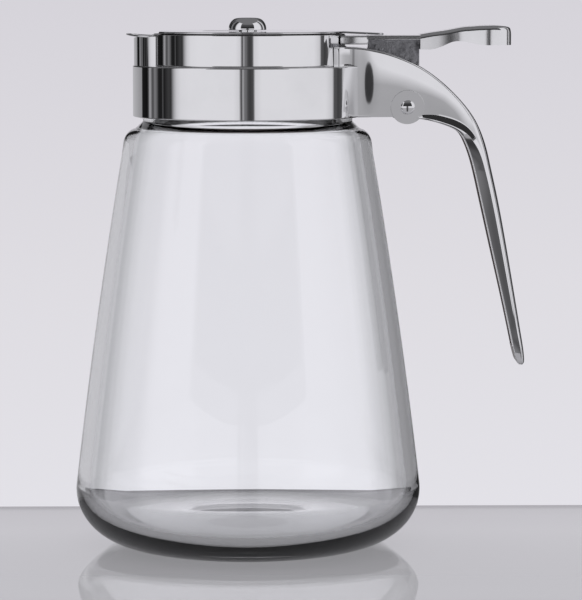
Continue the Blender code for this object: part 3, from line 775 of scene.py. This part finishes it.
@dataclass
class CapBody:
    """The cap casting: two-tiered collar, deck, beak with its lip, pin ears and handle."""

    segments: int = 256
    collar_radius: float = 30.4 * MM
    collar_base_z: float = 113.7 * MM
    step_z: float = 127.2 * MM
    tier_radius: float = 25.9 * MM
    deck_z: float = 135.35 * MM
    deck_edge: float = 0.15 * MM
    step_edge: float = 0.35 * MM
    base_edge: float = 0.25 * MM
    foot_round: float = 0.3 * MM
    bore_radius: float = 28.3 * MM
    ledge_z: float = 124.9 * MM
    chamber_radius: float = 23.5 * MM
    chamber_z: float = 133.0 * MM
    beak_radius: float = 10.95 * MM
    beak_x: float = -19.1 * MM
    beak_edge: float = 0.25 * MM
    beak_below_deck: float = 0.42 * MM
    beak_root_depth: float = 0.5 * MM
    lip_radius: float = 9.0 * MM
    lip_tip_x: float = -32.1 * MM
    lip_thickness: float = 0.5 * MM
    lip_rise: float = 0.6 * MM
    lip_above_deck: float = -0.39 * MM
    trough_centre: tuple[float, float, float] = (-24.5, 0.0, 135.5)
    trough_radii: tuple[float, float, float] = (7.2, 7.0, 1.9)
    sill_x: float = -23.6 * MM
    hole_x: Pair = (-22.5 * MM, -14.4 * MM)
    hole_half: float = 7.5 * MM
    pin_x: float = 42.0 * MM
    pin_z: float = 116.3 * MM
    ear_radius: float = 4.5 * MM
    ear_half: float = 8.0 * MM
    ear_thickness: float = 2.2 * MM
    ear_edge: float = 0.05 * MM
    ear_turn: Pair = (math.radians(6.9), math.radians(5.8))
    pin_hole: float = 1.6 * MM
    slot_x: Pair = (31.45 * MM, 55.1 * MM)
    slot_half: float = 1.75 * MM
    slot_base_z: float = 114.5 * MM
    pocket_radius: float = 2.7 * MM
    pocket_z: float = 133.7 * MM
    cut_past: float = 2.0 * MM
    cut_well_past: float = 5.0 * MM
    near: float = 0.02 * MM
    level_normal: float = 0.99
    under_normal: float = -0.5
    under_half: float = 3.5 * MM
    handle: Handle = field(default_factory=Handle)

    def collar(self) -> bpy.types.Object:
        """Return the two tiers as a filled turning."""
        deck, step, base, foot = self.deck_edge, self.step_edge, self.base_edge, self.foot_round
        profile = [(0.0, self.deck_z)]
        profile += arc((self.tier_radius - deck, self.deck_z - deck), (deck, deck), QUARTER, 0.0, 5)
        profile += arc((self.tier_radius + foot, self.step_z + foot), (foot, foot), math.pi, 1.5 * math.pi, 4)
        profile += arc((self.collar_radius - step, self.step_z - step), (step, step), QUARTER, 0.0, 6)
        profile += arc((self.collar_radius - base, self.collar_base_z + base), (base, base), 0.0, -QUARTER, 6)
        profile.append((0.0, self.collar_base_z))
        return made("cap_casting", spun(guarded(profile), self.segments))

    def beak(self) -> list[bpy.types.Object]:
        """Return the beak's round wall and its thin lip, which rises to its tip."""
        top, edge = self.deck_z - self.beak_below_deck, self.beak_edge
        base = self.step_z - self.beak_root_depth
        turn = arc((self.beak_radius - edge, top - edge), (edge, edge), QUARTER, 0.0, 5)
        wall = spun(guarded([(0.0, top)] + turn + [(self.beak_radius, base), (0.0, base)]), 160)
        moved(wall, Matrix.Translation((self.beak_x, 0.0, 0.0)))
        lip_top = self.deck_z + self.lip_above_deck
        half = self.lip_thickness / 2
        rim = arc((self.lip_radius - half, lip_top - half), (half, half), QUARTER, -QUARTER, 8)
        profile = [(0.0, lip_top)] + rim + [(0.0, lip_top - self.lip_thickness)]
        lip = spun(profile, 160)
        moved(lip, Matrix.Translation((self.lip_tip_x + self.lip_radius, 0.0, 0.0)))
        for vert in lip.verts:
            reach = (self.sill_x - vert.co.x) / (self.sill_x - self.lip_tip_x)
            if reach > 0:
                vert.co.z += self.lip_rise * reach * reach
        return [made("beak", wall), made("lip", lip)]

    def ears(self) -> list[bpy.types.Object]:
        """Return the thin round bosses that carry the cross pin and lie along the flanks."""
        edge = self.ear_edge
        lean, taper = self.ear_turn
        rim = arc((self.ear_radius - edge, -edge), (edge, edge), QUARTER, 0.0, 4)
        profile = [(0.0, 0.0), *rim, (self.ear_radius, -self.ear_thickness), (0.0, -self.ear_thickness)]
        found = []
        for side in (-1, 1):
            boss = spun(guarded(profile), 96)
            moved(boss, Matrix.Rotation(-side * QUARTER, 4, "X"))
            moved(boss, Matrix.Rotation(-side * lean, 4, "X"))
            moved(boss, Matrix.Rotation(-side * taper, 4, "Z"))
            moved(boss, Matrix.Translation((self.pin_x, side * self.ear_half, self.pin_z)))
            found.append(made(f"ear{side}", boss))
        return found

    def cutters(self) -> list[bpy.types.Object]:
        """Return every hollow of the casting."""
        below = self.collar_base_z - self.cut_well_past
        bore = [
            (0.0, self.chamber_z),
            (self.chamber_radius - MM, self.chamber_z),
            (self.chamber_radius, self.chamber_z - MM),
            (self.chamber_radius, self.ledge_z),
            (self.bore_radius, self.ledge_z),
            (self.bore_radius, below),
            (0.0, below),
        ]
        slot_low = Vector((self.slot_x[0], -self.slot_half, self.slot_base_z))
        slot_high = Vector((self.slot_x[1], self.slot_half, self.deck_z))
        hole_low = Vector((self.hole_x[0], -self.hole_half, self.chamber_z - self.cut_past))
        hole_high = Vector((self.hole_x[1], self.hole_half, self.deck_z + self.cut_past))
        mouth, floor, wide = self.deck_z + self.cut_past, self.pocket_z, self.pocket_radius
        pocket = [(0.0, mouth), (wide, mouth), (wide, floor), (0.0, floor)]
        reach = self.ear_half + self.cut_past
        drill = [(0.0, reach), (self.pin_hole, reach), (self.pin_hole, -reach), (0.0, -reach)]
        return [
            made("bore", spun(bore, self.segments)),
            self.handle.channel(),
            made("slot", block(slot_low, slot_high)),
            made("hole", block(hole_low, hole_high)),
            made("pocket", spun(pocket, 64)),
            made("drill", moved(spun(drill, 48), across_y(self.pin_x, self.pin_z))),
            self.trough(),
        ]

    def trough(self) -> bpy.types.Object:
        """Return the spoon-shaped trough that leads from the sill to the lip."""
        shape = bmesh.new()
        bmesh.ops.create_uvsphere(shape, u_segments=96, v_segments=64, radius=MM)
        bmesh.ops.scale(shape, vec=self.trough_radii, verts=shape.verts)
        bmesh.ops.translate(shape, vec=Vector(self.trough_centre) * MM, verts=shape.verts)
        everything = shape.verts[:] + shape.edges[:] + shape.faces[:]
        plane = Vector((self.sill_x, 0.0, 0.0))
        cut = bmesh.ops.bisect_plane(
            shape, geom=everything, plane_co=plane, plane_no=(1.0, 0.0, 0.0), clear_outer=True
        )
        rim = [item for item in cut["geom_cut"] if isinstance(item, bmesh.types.BMEdge)]
        bmesh.ops.edgeloop_fill(shape, edges=rim)
        bmesh.ops.recalc_face_normals(shape, faces=shape.faces)
        return made("trough", shape)

    def is_unpolished_or_shaded(self, face: bpy.types.MeshPolygon) -> bool:
        """Return whether a face lies inside the bore or channel, or on the deck under the plate, where dark
        metal also paints shade.
        """
        x, y, z = face.center
        if x > self.handle.channel_front_x:
            faces_inward = face.normal.y * y < 0
            faces_under = face.normal.x + face.normal.z < self.under_normal and abs(y) < self.under_half
            return faces_inward or faces_under
        on_deck = abs(z - self.deck_z) < self.near and face.normal.z > self.level_normal
        reach = math.hypot(x, y)
        in_chamber = reach < self.chamber_radius + self.near and z < self.chamber_z + self.near
        in_bore = reach < self.bore_radius + self.near and z < self.ledge_z + self.near
        return on_deck or in_chamber or in_bore

    def build(self, material: bpy.types.Material, inner: bpy.types.Material) -> None:
        """Build and dress the casting."""
        cap = self.collar()
        combine(cap, [*self.beak(), self.handle.solid(), *self.ears()], Join.ADD)
        combine(cap, self.cutters(), Join.CUT)
        settle(cap, Body.ROOT, Slot.CASTING, "cap_body", material)
        # Painted shade: the hollows and the deck under the plate take a dark metal. It is partly the
        # casting's unpolished skin and partly shade painted into these recesses and the gap under the plate.
        cap.data.materials.append(inner)
        for face in cap.data.polygons:
            if self.is_unpolished_or_shaded(face):
                face.material_index = 1


@dataclass
class GuideButton:
    """The domed button at the middle of the deck."""

    radius: float = 5.0 * MM
    top_z: float = 139.7 * MM
    flat_radius: float = 2.2 * MM
    base_z: float = 136.4 * MM
    skirt: float = 0.2 * MM
    foot_round: float = 0.12 * MM
    stem_radius: float = 2.4 * MM
    stem_z: float = 134.0 * MM

    def build(self, material: bpy.types.Material) -> None:
        """Build and dress the button."""
        across = self.radius - self.flat_radius
        tall = self.top_z - self.base_z - self.skirt
        dome = arc((self.flat_radius, self.base_z + self.skirt), (across, tall), QUARTER, 0.0, 24)
        top = [(0.0, self.top_z), (self.flat_radius - GUARD, self.top_z)]
        turn = self.foot_round
        foot = arc((self.radius - turn, self.base_z + turn), (turn, turn), 0.0, -QUARTER, 4)
        stem = [(self.stem_radius, self.base_z), (self.stem_radius, self.stem_z), (0.0, self.stem_z)]
        button = made("button", spun(top + dome + foot + stem, 128))
        settle(button, Body.ROOT, Slot.CASTING, "guide_button", material)


@dataclass
class CrossPin:
    """The cross pin with a domed head on each side of the handle."""

    x: float = 42.0 * MM
    z: float = 116.3 * MM
    radius: float = 1.3 * MM
    head_radius: float = 1.95 * MM
    head_height: float = 0.95 * MM
    head_base: float = 7.9 * MM

    def build(self, material: bpy.types.Material) -> None:
        """Build and dress the pin."""
        radii = (self.head_radius, self.head_height)
        upper = arc((0.0, self.head_base), radii, QUARTER, 0.0, 16)
        lower = arc((0.0, -self.head_base), radii, 0.0, -QUARTER, 16)
        shank = [(self.radius, self.head_base), (self.radius, -self.head_base)]
        pin = made("cross_pin", moved(spun(upper + shank + lower, 96), across_y(self.x, self.z)))
        settle(pin, Body.ROOT, Slot.CASTING, "pivot_pin", material)


@dataclass
class GatePlate:
    """The thin sliding plate, with a straight front edge, a tail and the button's slot."""

    radius: float = 25.9 * MM
    front_x: float = -23.1 * MM
    tail_half: float = 5.5 * MM
    tail_x: float = 35.8 * MM
    tail_corner: float = 1.5 * MM
    low_z: float = 135.62 * MM
    high_z: float = 136.15 * MM
    edge_round: float = 0.25 * MM
    slot_radius: float = 2.7 * MM
    slot_front_x: float = -9.3 * MM
    bend_x: float = 25.0 * MM
    tail_drop: float = 0.5 * MM

    def bend(self, shape: bmesh.types.BMesh) -> bmesh.types.BMesh:
        """Return the plate after its tail is bent down towards the lever."""
        for vert in shape.verts:
            reach = max(vert.co.x - self.bend_x, 0.0) / (self.tail_x - self.bend_x)
            vert.co.z -= self.tail_drop * reach
        return shape

    def outline(self) -> list[Pair]:
        """Return the plate's plan outline."""
        chord = math.acos(self.front_x / self.radius)
        tail = math.asin(self.tail_half / self.radius)
        upper = arc((0.0, 0.0), (self.radius, self.radius), tail, chord, 120)
        lower = [(x, -y) for x, y in reversed(upper)]
        corner = (self.tail_corner, self.tail_corner)
        end_x, end_y = self.tail_x - self.tail_corner, self.tail_half - self.tail_corner
        near_end = arc((end_x, -end_y), corner, -QUARTER, 0.0, 6)
        far_end = arc((end_x, end_y), corner, 0.0, QUARTER, 6)
        return upper + lower + near_end + far_end

    def build(self, material: bpy.types.Material) -> None:
        """Build and dress the plate."""
        flat = prism(self.outline(), self.low_z, self.high_z, self.edge_round)
        plate = made("sliding_plate", self.bend(flat))
        radii = (self.slot_radius, self.slot_radius)
        back = arc((0.0, 0.0), radii, -QUARTER, QUARTER, 24)
        front = arc((self.slot_front_x, 0.0), radii, QUARTER, 1.5 * math.pi, 24)
        slot = made("plate_slot", prism(back + front, self.low_z - MM, self.high_z + MM))
        combine(plate, [slot], Join.CUT)
        settle(plate, Body.GATE, Slot.PLATE, "gate_plate", material)


@dataclass
class ThumbLever:
    """The lever: bowed root block, flat arm, unpolished web and hollow thumb pad."""

    block_half: float = 10.0 * MM
    block_base_z: float = 132.75 * MM
    block_x: Pair = (20.0 * MM, 31.5 * MM)
    bow: float = 0.4 * MM
    bow_x: float = 27.1 * MM
    bow_reach: float = 4.4 * MM
    arm_half: float = 5.5 * MM
    arm_thickness: float = 1.1 * MM
    arm_overlap: float = 1.5 * MM
    arm_edge: float = 0.25 * MM
    root_edge: float = 0.4 * MM
    web_edge: float = 0.2 * MM
    top_z: float = 135.0 * MM
    web_x: Pair = (31.8 * MM, 45.4 * MM)
    web_half: float = 1.4 * MM
    web_base_z: float = 119.5 * MM
    tier_clearance: float = 26.2 * MM
    pad_wall: float = 1.1 * MM
    pad_edge: float = 1.2 * MM
    stations: tuple[Station, ...] = (
        (45.4, 135.3, 131.4, 6.1),
        (48.8, 135.9, 131.4, 5.9),
        (51.2, 136.2, 132.2, 5.8),
        (54.0, 136.7, 133.4, 5.8),
        (56.7, 137.2, 133.5, 6.05),
        (58.6, 137.35, 133.1, 6.5),
        (60.6, 137.5, 132.7, 7.05),
        (62.9, 137.6, 132.5, 7.5),
        (65.1, 137.65, 132.5, 7.4),
        (67.0, 137.5, 132.5, 6.9),
        (68.4, 137.3, 132.5, 5.8),
        (69.15, 136.9, 132.5, 4.5),
        (69.5, 136.2, 132.5, 3.0),
    )

    def root_outline(self) -> list[Pair]:
        """Return the root block's plan with its bowed sides."""
        side = []
        steps = 24
        for i in range(steps + 1):
            x = self.block_x[0] + (self.block_x[1] - self.block_x[0]) * i / steps
            away = (x - self.bow_x) / self.bow_reach
            side.append((x, self.block_half - self.bow * away * away))
        return [(x, -y) for x, y in side] + list(reversed(side))

    def pad_ring(self, row: Station, inset: float = 0.0) -> list[Vector]:
        """Return the pad's section at a station, or its hollow's when inset by the wall."""
        x, top, low, half = (value * MM for value in row)
        half -= inset
        edge = min(self.pad_edge, half * 0.5)
        top -= inset
        low -= inset * 2
        rim = arc((half - edge, top - edge), (edge, edge), 0.0, QUARTER, 8)
        side = [(half, low), (half, (low + top - edge) / 2), *rim]
        mirrored = [(-y, z) for y, z in reversed(side)]
        return [Vector((x, y, z)) for y, z in side + mirrored]

    def shell(self) -> bpy.types.Object:
        """Return the polished part of the lever."""
        arm_low = Vector((self.block_x[1] - MM, -self.arm_half, self.top_z - self.arm_thickness))
        arm_high = Vector((self.web_x[1] + self.arm_overlap, self.arm_half, self.top_z))
        lever = made("lever_shell", block(arm_low, arm_high, self.arm_edge))
        root_shape = prism(self.root_outline(), self.block_base_z, self.top_z, self.root_edge)
        root = made("root_block", root_shape)
        rows = flow(self.stations, 5, 2)
        pad = made("pad", lofted([self.pad_ring(row) for row in rows]))
        combine(lever, [root, pad], Join.ADD)
        inner = [row for row in rows if self.stations[1][0] < row[0] < self.stations[-3][0]]
        hollow = made("pad_hollow", lofted([self.pad_ring(row, self.pad_wall) for row in inner]))
        low, high = self.block_base_z - MM, self.top_z + MM
        post = [(0.0, high), (self.tier_clearance, high), (self.tier_clearance, low), (0.0, low)]
        combine(lever, [hollow, made("tier_room", spun(post, 256))], Join.CUT)
        return lever

    def build(self, chrome: bpy.types.Material, raw: bpy.types.Material) -> None:
        """Build and dress the lever."""
        settle(self.shell(), Body.GATE, Slot.LEVER, "thumb_lever", chrome)
        low = Vector((self.web_x[0], -self.web_half, self.web_base_z))
        high = Vector((self.web_x[1], self.web_half, self.top_z - self.arm_thickness / 2))
        web = made("lever_web", block(low, high, self.web_edge))
        settle(web, Body.GATE, Slot.LEVER, "thumb_lever", raw)


@dataclass
class Studio:
    """The table, the surroundings that the metal mirrors, and the camera."""

    camera_at: Vector = field(default_factory=lambda: Vector((0.0, -0.761, 0.149)))
    aim: Vector = field(default_factory=lambda: Vector((0.0115, 0.0, 0.06455)))
    lens: float = 172.0
    tint: tuple[float, float, float] = (0.992, 0.985, 1.03)
    table_low: tuple[float, float, float] = (-0.6, -0.14, -0.02)
    table_high: tuple[float, float, float] = (0.6, 0.0486, -0.00005)
    table_edge: float = 0.5 * MM
    table_colour: tuple[float, float, float, float] = (0.16, 0.158, 0.165, 1.0)
    haze_scale: float = 14.0
    haze_range: Station = (0.3, 0.7, 0.02, 0.035)
    # Painted light: the table's glow by depth. It is brightest at the front, which keeps the table bright
    # under the jar, and none over the last few millimetres, which paints a dark band along the rear edge.
    painted_table_light: tuple[Pair, ...] = (
        (-0.07, 0.265),
        (0.0114, 0.187),
        (0.0414, 0.10),
        (0.045, 0.0),
        (0.0486, 0.0),
    )
    left_panels: tuple[Pair, ...] = (
        (-180.0, 0.70),
        (-174.0, 0.66),
        (-166.0, 0.48),
        (-157.0, 0.45),
        (-144.0, 0.38),
        (-131.6, 0.29),
        (-130.6, 0.012),
        (-119.3, 0.006),
        (-117.0, 0.07),
        (-115.3, 0.34),
        (-113.0, 0.30),
        (-110.8, 0.09),
        (-108.5, 0.085),
        (-106.0, 0.21),
        (-103.0, 0.13),
        (-100.0, 0.014),
        (-95.0, 0.012),
        (-93.6, 0.085),
        (-92.0, 0.01),
        (-85.5, 0.045),
        (-82.0, 0.035),
        (-79.8, 0.25),
        (-78.0, 0.42),
        (-75.0, 0.62),
        (-70.0, 0.74),
        (-60.0, 0.77),
    )
    right_panels: tuple[Pair, ...] = (
        (-60.0, 0.77),
        (-14.0, 0.76),
        (-8.0, 0.66),
        (-6.9, 0.065),
        (-5.8, 0.06),
        (-4.4, 0.45),
        (-3.1, 0.14),
        (-1.6, 0.17),
        (0.3, 0.065),
        (2.5, 0.045),
        (6.0, 0.08),
        (7.4, 0.66),
        (14.0, 0.76),
        (84.0, 0.76),
        (93.5, 0.62),
        (96.3, 0.065),
        (98.8, 0.09),
        (102.0, 0.05),
        (108.5, 0.08),
        (110.5, 0.55),
        (123.0, 0.60),
        (125.5, 0.06),
        (165.0, 0.05),
        (172.0, 0.66),
        (180.0, 0.70),
    )
    ceiling: tuple[Pair, ...] = (
        (4.0, 0.03),
        (22.0, 0.03),
        (26.0, 0.07),
        (39.0, 0.07),
        (43.0, 0.17),
        (90.0, 0.17),
    )
    behind_blend: Pair = (168.0, 174.0)
    mirror_share: float = 0.5
    mirror_dark: float = 0.03
    side_fade: Pair = (120.0, 140.0)
    horizon_fade: Pair = (-9.0, -3.5)
    front_top: Station = (42.0, 45.0, 6.0, 52.0)
    rear_top: Station = (122.0, 126.0, 52.0, 2.5)
    behind_top: Station = (168.0, 172.0, 0.0, 25.0)
    glass_fill: float = 1.12
    glass_fill_share: float = 0.3
    room_light: float = 0.95
    backdrop: tuple[tuple[float, tuple], ...] = (
        (-11.8, (0.775, 0.767, 0.813, 1.0)),
        (-5.9, (0.735, 0.720, 0.760, 1.0)),
        (-0.3, (0.672, 0.655, 0.701, 1.0)),
        (12.0, (0.640, 0.625, 0.670, 1.0)),
    )

    def grey_ramp(self, graph: Graph, at: object, levels: tuple[Pair, ...]) -> bpy.types.NodeSocket:
        """Return the tinted grey at a place along a run of places and levels."""
        first, last = levels[0][0], levels[-1][0]
        stops = [((place - first) / (last - first), grey(value, self.tint)) for place, value in levels]
        return graph.ramp(graph.remap(at, first, last, 0.0, 1.0), stops)

    def surroundings(self) -> None:
        """Build the world.

        Panels stand around by azimuth, in degrees from the camera's side.  Above their tops is a
        dark room, below the horizon the table's mirror image, and the backdrop is behind the jar.
        """
        world = bpy.data.worlds.new("studio")
        bpy.context.scene.world = world
        world.use_nodes = True
        graph = Graph(world.node_tree)
        place = graph.node("ShaderNodeTexCoord").outputs["Generated"]
        parts = graph.node("ShaderNodeSeparateXYZ", {0: place})
        x, y, z = (parts.outputs[name] for name in "XYZ")
        azimuth = graph.math("DEGREES", graph.math("ARCTAN2", x, graph.math("MULTIPLY", y, -1.0)))
        elevation = graph.math("DEGREES", graph.math("ARCSINE", z))

        on_right = graph.math("GREATER_THAN", azimuth, self.right_panels[0][0])
        left = self.grey_ramp(graph, azimuth, self.left_panels)
        right = self.grey_ramp(graph, azimuth, self.right_panels)
        level = graph.mix(on_right, left, right)
        ceiling_stops = [(place / 90, grey(value, self.tint)) for place, value in self.ceiling]
        above = graph.ramp(graph.remap(elevation, 0.0, 90.0, 0.0, 1.0), ceiling_stops)
        low, high = self.backdrop[0][0], self.backdrop[-1][0]
        back_stops = [((place - low) / (high - low), colour) for place, colour in self.backdrop]
        backdrop = graph.ramp(graph.remap(elevation, low, high, 0.0, 1.0), back_stops)

        sideways = graph.math("ABSOLUTE", azimuth)
        behind = graph.remap(sideways, *self.behind_blend, 0.0, 1.0)
        level = graph.mix(behind, level, backdrop)
        table_mirror = graph.mix(self.mirror_share, level, grey(self.mirror_dark, self.tint))
        not_behind = graph.remap(sideways, *self.side_fade, 1.0, 0.0)
        below = graph.remap(elevation, *self.horizon_fade, 1.0, 0.0)
        beneath = graph.math("MULTIPLY", below, not_behind)
        front_top = graph.remap(sideways, *self.front_top)
        rear_top = graph.remap(sideways, *self.rear_top)
        behind_top = graph.remap(sideways, *self.behind_top)
        side_top = graph.math("MINIMUM", front_top, rear_top)
        top = graph.math("MAXIMUM", side_top, behind_top)
        past_top = graph.math("GREATER_THAN", elevation, top)

        path = graph.node("ShaderNodeLightPath").outputs
        seen = graph.mix(past_top, graph.mix(beneath, level, table_mirror), above)
        through = graph.mix(self.glass_fill_share, seen, grey(self.glass_fill, self.tint))
        seen = graph.mix(path["Is Transmission Ray"], seen, through)
        seen = graph.mix(path["Is Diffuse Ray"], seen, grey(self.room_light, self.tint))
        colour = graph.mix(path["Is Camera Ray"], seen, backdrop)
        light = graph.node("ShaderNodeBackground", {"Color": colour, "Strength": 1.0})
        graph.node("ShaderNodeOutputWorld", {"Surface": light.outputs[0]})

    def table(self) -> None:
        """Build the glossy table, with light painted on it as a glow that is brightest at the front and fades
        to none along the rear edge.
        """
        shape = block(Vector(self.table_low), Vector(self.table_high), self.table_edge)
        slab = made("table", shape)
        material = bpy.data.materials.new("glossy_table")
        material.use_nodes = True
        graph = Graph(material.node_tree)
        place = graph.node("ShaderNodeTexCoord").outputs["Object"]
        haze_inputs = {"Vector": place, "Scale": self.haze_scale, "Detail": 3.0}
        haze = graph.node("ShaderNodeTexNoise", haze_inputs)
        roughness = graph.remap(haze.outputs[0], *self.haze_range)
        # Painted light: the glow follows the depth, so the table glows though it is no lamp.
        depth = graph.node("ShaderNodeSeparateXYZ", {0: place}).outputs["Y"]
        shader_inputs = {
            "Base Color": self.table_colour,
            "Roughness": roughness,
            "IOR": 1.5,
            "Emission Color": self.grey_ramp(graph, depth, self.painted_table_light),
            "Emission Strength": 1.0,
        }
        shader = graph.node("ShaderNodeBsdfPrincipled", shader_inputs)
        graph.node("ShaderNodeOutputMaterial", {"Surface": shader.outputs[0]})
        slab.data.materials.append(material)

    def camera(self) -> None:
        """Place the camera at the photograph's viewpoint."""
        data = bpy.data.cameras.new("camera")
        data.sensor_width = 36.0
        data.lens = self.lens
        data.clip_end = 20.0
        item = bpy.data.objects.new("camera", data)
        item.location = self.camera_at
        item.rotation_mode = "QUATERNION"
        item.rotation_quaternion = (self.aim - self.camera_at).to_track_quat("-Z", "Y")
        bpy.context.scene.collection.objects.link(item)
        bpy.context.scene.camera = item

    def build(self) -> None:
        """Build the table, the surroundings and the camera."""
        self.surroundings()
        self.table()
        self.camera()
        bpy.context.scene.view_settings.view_transform = "Standard"


MIRROR_CHROME = MetalFinish(
    name="mirror_chrome",
    colour=(0.90, 0.90, 0.905),
    roughness=0.03,
    smudge=0.02,
    wave_scale=90.0,
    wave_depth=0.012 * MM,
)
POLISHED_SHEET = MetalFinish(
    name="polished_sheet",
    colour=(0.86, 0.86, 0.87),
    roughness=0.05,
    smudge=0.04,
    wave_scale=140.0,
    wave_depth=0.01 * MM,
)
LEVER_CHROME = MetalFinish(
    name="lever_chrome",
    colour=(0.88, 0.88, 0.885),
    roughness=0.13,
    smudge=0.04,
    wave_scale=120.0,
    wave_depth=0.02 * MM,
)
# Unpolished casting skin, dark and brownish: the real finish of the hollows, and also painted shade in the
# bore, the channel and the gap under the gate plate.
UNPOLISHED_AND_SHADED_INSIDE = MetalFinish(
    name="unpolished_and_shaded_inside",
    colour=(0.32, 0.29, 0.28),
    roughness=0.45,
    smudge=0.1,
    wave_scale=300.0,
    wave_depth=0.02 * MM,
)


def main() -> None:
    """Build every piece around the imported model."""
    logging.basicConfig(level=logging.INFO, format="%(message)s")
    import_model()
    handling, streaks = Handling(), Streaks()
    chrome = MIRROR_CHROME.material(handling)

    Jar().build(GlassFinish().material(streaks))
    CapBody().build(chrome, UNPOLISHED_AND_SHADED_INSIDE.material(handling))
    GuideButton().build(chrome)
    CrossPin().build(chrome)
    GatePlate().build(POLISHED_SHEET.material(handling))
    ThumbLever().build(LEVER_CHROME.material(handling), RawCastingFinish().material(handling))
    Studio().build()


if __name__ == "__main__":
    main()
